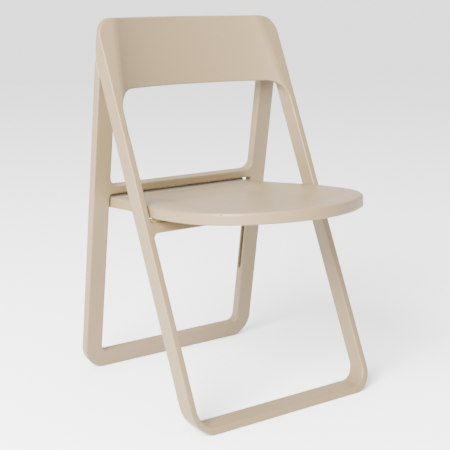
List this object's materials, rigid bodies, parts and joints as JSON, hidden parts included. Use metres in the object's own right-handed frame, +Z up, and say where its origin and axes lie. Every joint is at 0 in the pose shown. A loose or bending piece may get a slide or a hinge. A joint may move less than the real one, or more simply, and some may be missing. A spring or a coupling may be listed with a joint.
{
  "type": "folding chair",
  "caption": "Moulded folding chair: looped front frame with a hollowed backrest, looped rear frame hinged near the top, and a seat that tips up as the frames close.",
  "frame": {"origin": "on the floor, in the middle of the open chair's footprint", "axes": "+Z up, -Y the way the sitter faces, +X the sitter's left"},
  "size_m": [0.462, 0.5767, 0.793],
  "materials": {
    "moulded_frame": "fine moulded texture, warm taupe",
    "moulded_seat": "fine moulded texture, warm taupe",
    "steel": "turned steel pin",
    "nylon": "natural nylon",
    "rubber": "dark soft glide"
  },
  "bodies": {
    "front_frame": {"front_frame": "moulded_frame", "hinge_pin_left": "steel", "hinge_pin_right": "steel", "hinge_washer_left": "nylon", "hinge_washer_right": "nylon", "seat_pin_left": "steel", "seat_pin_right": "steel", "seat_washer_left": "nylon", "seat_washer_right": "nylon", "front_glide_left": "rubber", "front_glide_right": "rubber"},
    "rear_frame": {"rear_frame": "moulded_frame", "hinge_bush_left": "nylon", "hinge_bush_right": "nylon", "rear_glide_left": "rubber", "rear_glide_right": "rubber"},
    "seat": {"seat": "moulded_seat", "seat_bush_left": "nylon", "seat_bush_right": "nylon", "slide_pin_left": "steel", "slide_pin_right": "steel"},
    "shoes": {"slide_shoe_left": "nylon", "slide_shoe_right": "nylon"}
  },
  "joints": [
    {"name": "frame_fold", "type": "hinge", "parent": "front_frame", "child": "rear_frame", "pos_m": [0, 0.14979, 0.67897], "axis": [-1, 0, 0], "range_deg": [0, 29]},
    {"name": "seat_fold", "type": "hinge", "parent": "front_frame", "child": "seat", "pos_m": [0, 0.01661, 0.412], "axis": [-1, 0, 0], "range_deg": [0, 89.2]},
    {"name": "shoe_slide", "type": "slide", "parent": "rear_frame", "child": "shoes", "axis": [0, 0.1506, -0.9886], "range_m": [0, 0.201]}
  ],
  "couplings": [
    {"joint": "seat_fold", "follows": "frame_fold", "ratio": 3.0739},
    {"joint": "shoe_slide", "follows": "frame_fold", "m_per_rad": 0.39676}
  ]
}
